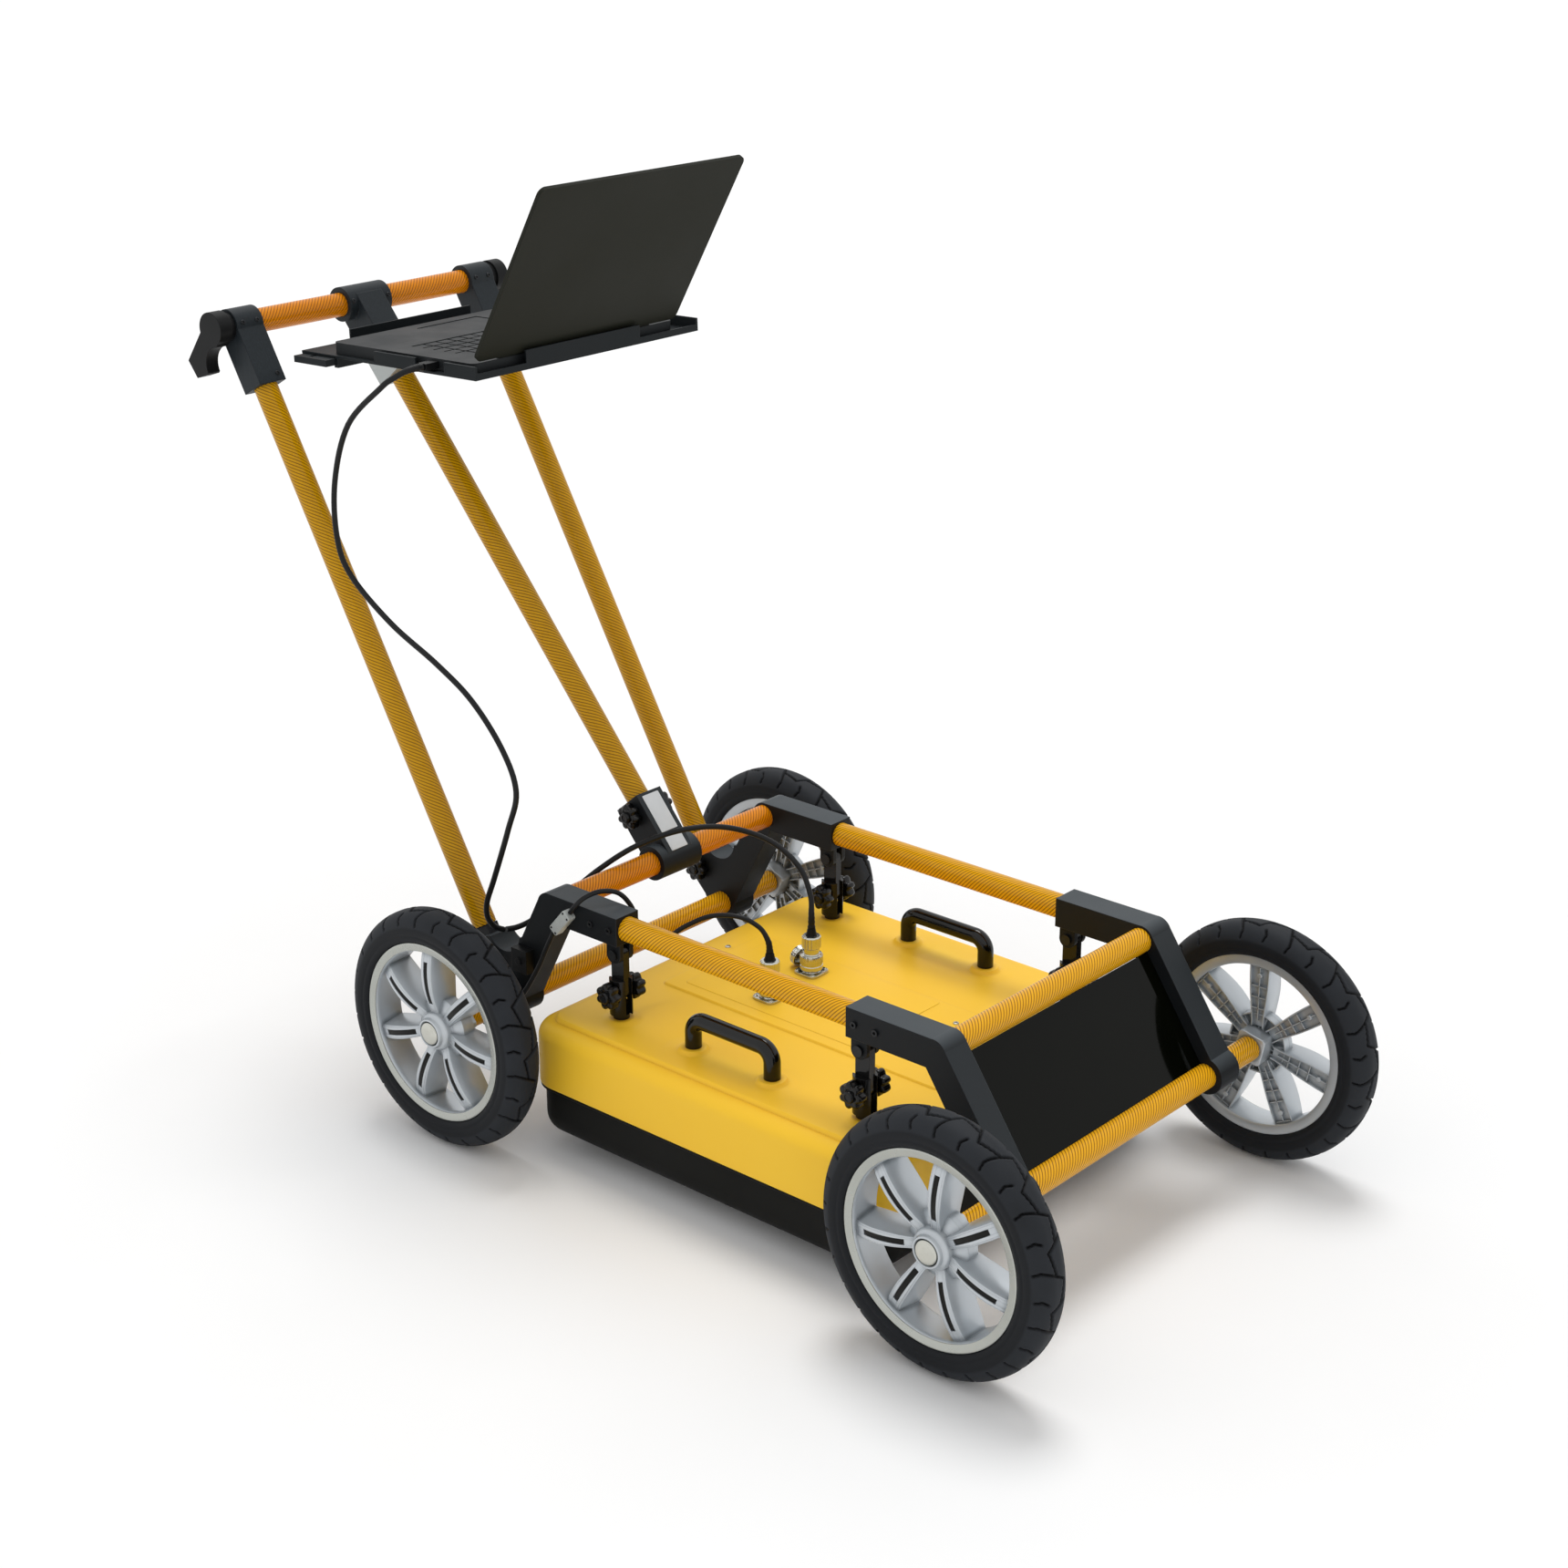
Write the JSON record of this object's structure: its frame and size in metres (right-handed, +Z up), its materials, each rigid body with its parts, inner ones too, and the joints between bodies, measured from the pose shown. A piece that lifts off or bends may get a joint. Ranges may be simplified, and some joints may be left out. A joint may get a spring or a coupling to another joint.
{
  "type": "ground penetrating radar cart",
  "caption": "Push cart of gold tubes and black brackets on spoked wheels, carrying a flat radar antenna under its frame and a tray with a laptop on its leaning handle.",
  "frame": {"origin": "on the ground, midway between the front and rear axles, on the middle plane of the frame", "axes": "+X is the direction of travel, +Y is left, +Z is up"},
  "size_m": [1.417, 0.676, 1.1349],
  "materials": {
    "aramid_tube": "gold and black aramid weave under clear gloss",
    "anodised_bracket": "satin black anodised",
    "steel": "machined",
    "gloss_panel": "high gloss black",
    "black_plastic": "satin moulded",
    "tyre": "matt rubber",
    "wheel_silver": "silver paint on moulded wheels",
    "wheel_trim": "black inlays with a bright cap",
    "nickel": "bright nickel",
    "tray_metal": "dark grey powder coat",
    "laptop_base": "matt",
    "laptop_lid": "matt soft coat",
    "screen": "dark glass",
    "yellow_cover": "satin moulded",
    "antenna_base": "matt moulded",
    "gloss_handle": "gloss moulded",
    "circuit_board": "solder mask",
    "copper": "bare copper",
    "cable_jacket": "smooth jacket"
  },
  "bodies": {
    "chassis": {"rear_brackets": "anodised_bracket", "front_brackets": "anodised_bracket", "side_rails": "aramid_tube", "rear_cross_tube": "aramid_tube", "front_cross_tube": "aramid_tube", "axle_tubes": "aramid_tube", "axle_shafts": "steel", "wheel_bearings": "steel", "front_panel": "gloss_panel", "frame_screws": "steel", "hanger_links": "anodised_bracket", "wheel_encoder": "black_plastic", "junction_box": "nickel", "cable_clamp": "black_plastic", "data_cable_lower": "cable_jacket", "encoder_lead": "cable_jacket", "encoder_cable": "cable_jacket"},
    "wheel_front_left": {"tyre_front_left": "tyre", "rim_front_left": "wheel_silver", "wheel_trim_front_left": "wheel_trim"},
    "wheel_front_right": {"tyre_front_right": "tyre", "rim_front_right": "wheel_silver", "wheel_trim_front_right": "wheel_trim"},
    "wheel_rear_left": {"tyre_rear_left": "tyre", "rim_rear_left": "wheel_silver", "wheel_trim_rear_left": "wheel_trim"},
    "wheel_rear_right": {"tyre_rear_right": "tyre", "rim_rear_right": "wheel_silver", "wheel_trim_rear_right": "wheel_trim"},
    "handle": {"handle_legs": "aramid_tube", "leg_hinge_ends": "anodised_bracket", "handlebar": "aramid_tube", "handle_end_brackets": "anodised_bracket", "bar_ends": "black_plastic"},
    "pivot_knob_left": {"pivot_knob_left": "black_plastic"},
    "pivot_knob_right": {"pivot_knob_right": "black_plastic"},
    "strut": {"strut_tube": "aramid_tube", "strut_top_clamp": "anodised_bracket", "tray_bracket": "tray_metal", "tray": "tray_metal", "laptop_base": "laptop_base", "laptop_plug": "black_plastic", "data_cable_upper": "cable_jacket"},
    "side_shelf": {"side_shelf": "tray_metal"},
    "laptop_lid": {"laptop_lid": "laptop_lid", "laptop_screen": "screen"},
    "strut_socket": {"strut_socket": "anodised_bracket"},
    "strut_knobs": {"strut_knobs": "black_plastic"},
    "antenna": {"antenna_cover": "yellow_cover", "antenna_base": "antenna_base", "antenna_handles": "gloss_handle", "hanger_sleeves": "anodised_bracket", "connector_sockets": "nickel", "radar_board": "circuit_board", "bowtie_plates": "copper", "antenna_plugs": "nickel"},
    "height_knobs_front_left": {"height_knobs_front_left": "black_plastic"},
    "height_knobs_front_right": {"height_knobs_front_right": "black_plastic"},
    "height_knobs_rear_left": {"height_knobs_rear_left": "black_plastic"},
    "height_knobs_rear_right": {"height_knobs_rear_right": "black_plastic"}
  },
  "joints": [
    {"name": "wheel_front_left_spin", "type": "hinge", "parent": "chassis", "child": "wheel_front_left", "pos_m": [0.379, 0.3, 0.15], "axis": [0, 1, 0], "continuous": true},
    {"name": "wheel_front_right_spin", "type": "hinge", "parent": "chassis", "child": "wheel_front_right", "pos_m": [0.379, -0.318, 0.15], "axis": [0, 1, 0], "continuous": true},
    {"name": "wheel_rear_left_spin", "type": "hinge", "parent": "chassis", "child": "wheel_rear_left", "pos_m": [-0.379, 0.3, 0.15], "axis": [0, 1, 0], "continuous": true},
    {"name": "wheel_rear_right_spin", "type": "hinge", "parent": "chassis", "child": "wheel_rear_right", "pos_m": [-0.379, -0.318, 0.15], "axis": [0, 1, 0], "continuous": true},
    {"name": "handle_tilt", "type": "hinge", "parent": "chassis", "child": "handle", "pos_m": [-0.418, 0, 0.19], "axis": [0, 1, 0], "range_deg": [-10, 0]},
    {"name": "strut_swivel", "type": "hinge", "parent": "handle", "child": "strut", "pos_m": [-0.839, 0, 0.91919], "axis": [0, 1, 0], "range_deg": [0, 1]},
    {"name": "socket_swivel", "type": "hinge", "parent": "chassis", "child": "strut_socket", "pos_m": [-0.304, 0, 0.293], "axis": [0, 1, 0], "range_deg": [-10, 0]},
    {"name": "lid_hinge", "type": "hinge", "parent": "strut", "child": "laptop_lid", "pos_m": [-0.44758, 0, 0.92184], "axis": [0, 1, 0], "range_deg": [-121, 6]},
    {"name": "side_shelf_slide", "type": "slide", "parent": "strut", "child": "side_shelf", "axis": [0, -1, 0], "range_m": [-0.012, 0.06]},
    {"name": "antenna_height", "type": "slide", "parent": "chassis", "child": "antenna", "axis": [0, 0, 1], "range_m": [-0.01, 0.015], "deforming": ["data_cable_lower", "encoder_cable"]},
    {"name": "pivot_knob_left_turn", "type": "hinge", "parent": "chassis", "child": "pivot_knob_left", "pos_m": [-0.418, 0.1935, 0.19], "axis": [0, 1, 0], "continuous": true},
    {"name": "pivot_knob_right_turn", "type": "hinge", "parent": "chassis", "child": "pivot_knob_right", "pos_m": [-0.418, -0.1935, 0.19], "axis": [0, 1, 0], "continuous": true},
    {"name": "strut_knobs_turn", "type": "hinge", "parent": "strut_socket", "child": "strut_knobs", "pos_m": [-0.34687, 0, 0.34318], "axis": [0, 1, 0], "continuous": true},
    {"name": "height_knobs_front_left_turn", "type": "hinge", "parent": "chassis", "child": "height_knobs_front_left", "pos_m": [0.173, 0.1935, 0.209], "axis": [0, 1, 0], "continuous": true},
    {"name": "height_knobs_front_right_turn", "type": "hinge", "parent": "chassis", "child": "height_knobs_front_right", "pos_m": [0.173, -0.1935, 0.209], "axis": [0, 1, 0], "continuous": true},
    {"name": "height_knobs_rear_left_turn", "type": "hinge", "parent": "chassis", "child": "height_knobs_rear_left", "pos_m": [-0.203, 0.1935, 0.209], "axis": [0, 1, 0], "continuous": true},
    {"name": "height_knobs_rear_right_turn", "type": "hinge", "parent": "chassis", "child": "height_knobs_rear_right", "pos_m": [-0.203, -0.1935, 0.209], "axis": [0, 1, 0], "continuous": true}
  ],
  "couplings": [
    {"joint": "strut_swivel", "follows": "handle_tilt", "ratio": -0.010738},
    {"joint": "socket_swivel", "follows": "handle_tilt", "ratio": 0.98926}
  ]
}
